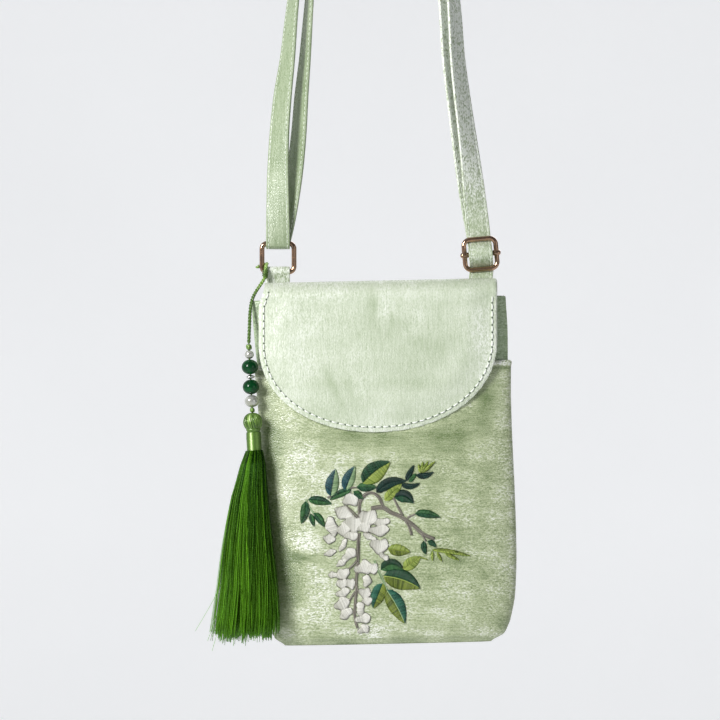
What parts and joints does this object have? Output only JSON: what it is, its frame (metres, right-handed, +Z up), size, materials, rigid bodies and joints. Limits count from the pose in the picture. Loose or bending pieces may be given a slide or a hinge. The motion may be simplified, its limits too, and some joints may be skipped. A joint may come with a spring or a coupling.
{
  "type": "embroidered phone purse",
  "caption": "Soft satin crossbody phone purse with an embroidered flap, a slip pocket, a doubled strap with ring and slider, and a bead tassel charm.",
  "frame": {"origin": "underside of the strap's crown, where the peg or the shoulder carries the purse", "axes": "+Z up along the hanging purse, +Y out of its back, the flap and the embroidery face -Y"},
  "size_m": [0.1505, 0.0424, 0.5066],
  "materials": {
    "body_satin": "slubbed satin",
    "flap_satin": "slubbed satin",
    "strap_satin": "slubbed satin",
    "rose_gold_wire": "polished",
    "green_silk": "glossy thread",
    "pearl": "pearl",
    "green_bead": "polished",
    "silver_spacer": "polished"
  },
  "bodies": {
    "root": {"pouch_body": "body_satin", "front_pocket": "body_satin", "flap": "flap_satin", "ring_tab": "strap_satin", "shoulder_strap": "strap_satin", "ring": "rose_gold_wire", "slider": "rose_gold_wire", "charm_cord": "green_silk", "bead_thread": "green_silk", "bead_small_pearl": "pearl", "bead_green_upper": "green_bead", "bead_spacer": "silver_spacer", "bead_green_lower": "green_bead", "bead_large_pearl": "pearl", "tassel_head": "green_silk", "tassel_wrap": "green_silk", "tassel_skirt": "green_silk"}
  },
  "joints": []
}
